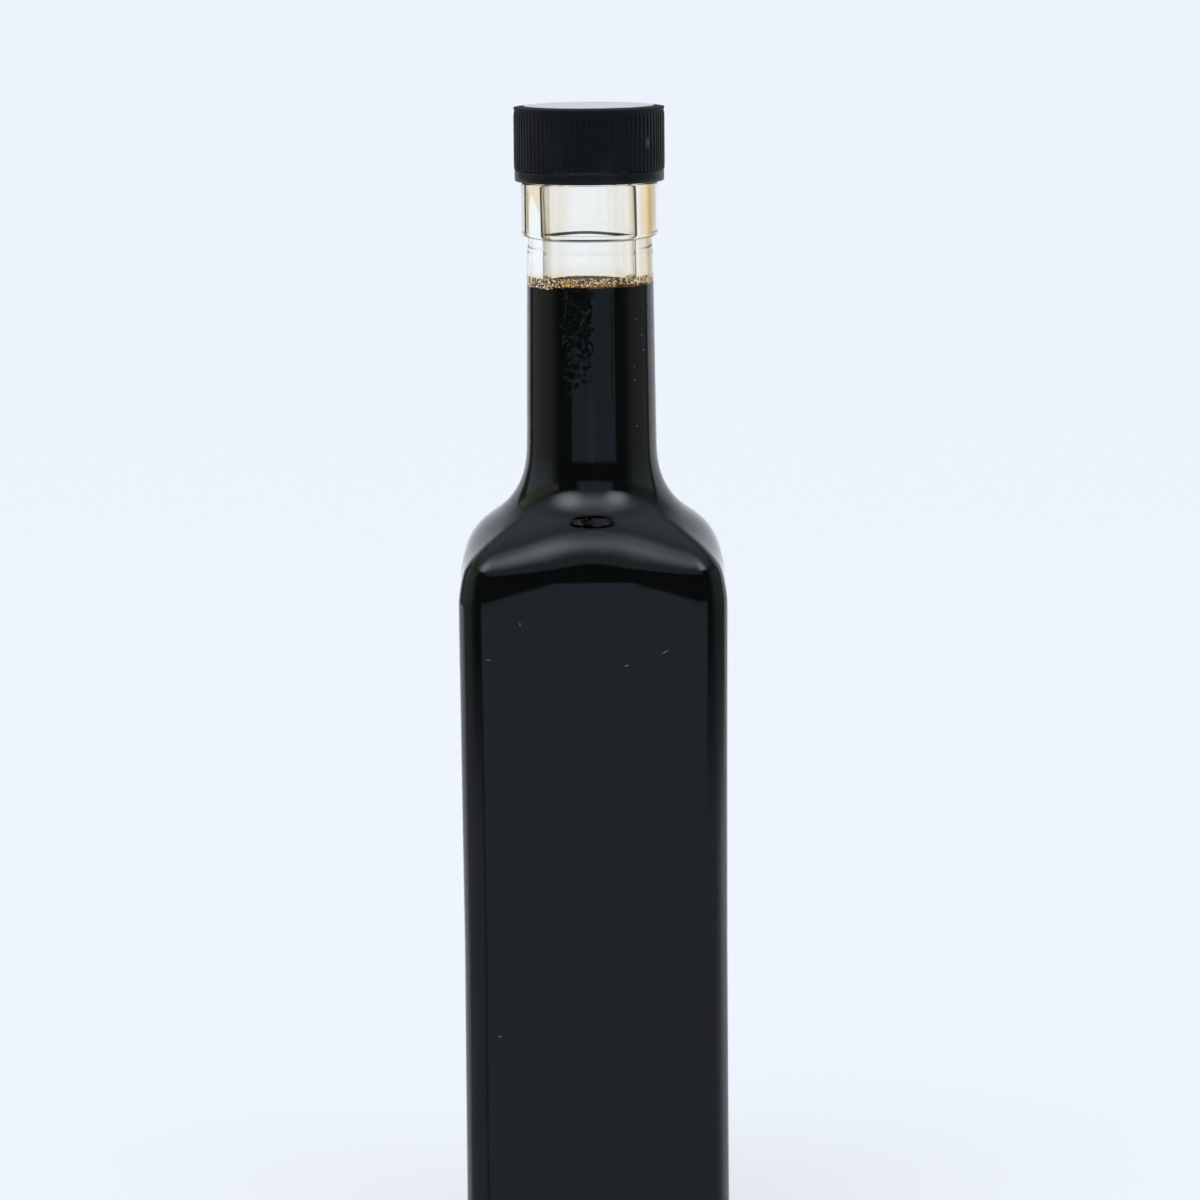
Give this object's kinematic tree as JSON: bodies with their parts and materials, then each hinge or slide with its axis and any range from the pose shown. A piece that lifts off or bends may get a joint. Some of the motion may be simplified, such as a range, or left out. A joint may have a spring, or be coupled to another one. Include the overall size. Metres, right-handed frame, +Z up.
{
  "type": "pomegranate molasses bottle",
  "caption": "Square clear glass bottle of dark pomegranate molasses with a long round neck, closed by a black ribbed screw cap.",
  "frame": {"origin": "centre of the foot, on the surface that the bottle stands on", "axes": "+Z up along the neck, -Y towards the face shown in the picture, +X to that face's right"},
  "size_m": [0.062, 0.062, 0.2685],
  "materials": {
    "clear_glass": "clear and glossy",
    "molasses": "thick near-black syrup, still and glossy",
    "froth": "golden-brown bubbles",
    "black_cap": "satin black moulded plastic"
  },
  "bodies": {
    "root": {"bottle": "clear_glass", "molasses": "molasses", "froth": "froth", "cap": "black_cap"}
  },
  "joints": []
}
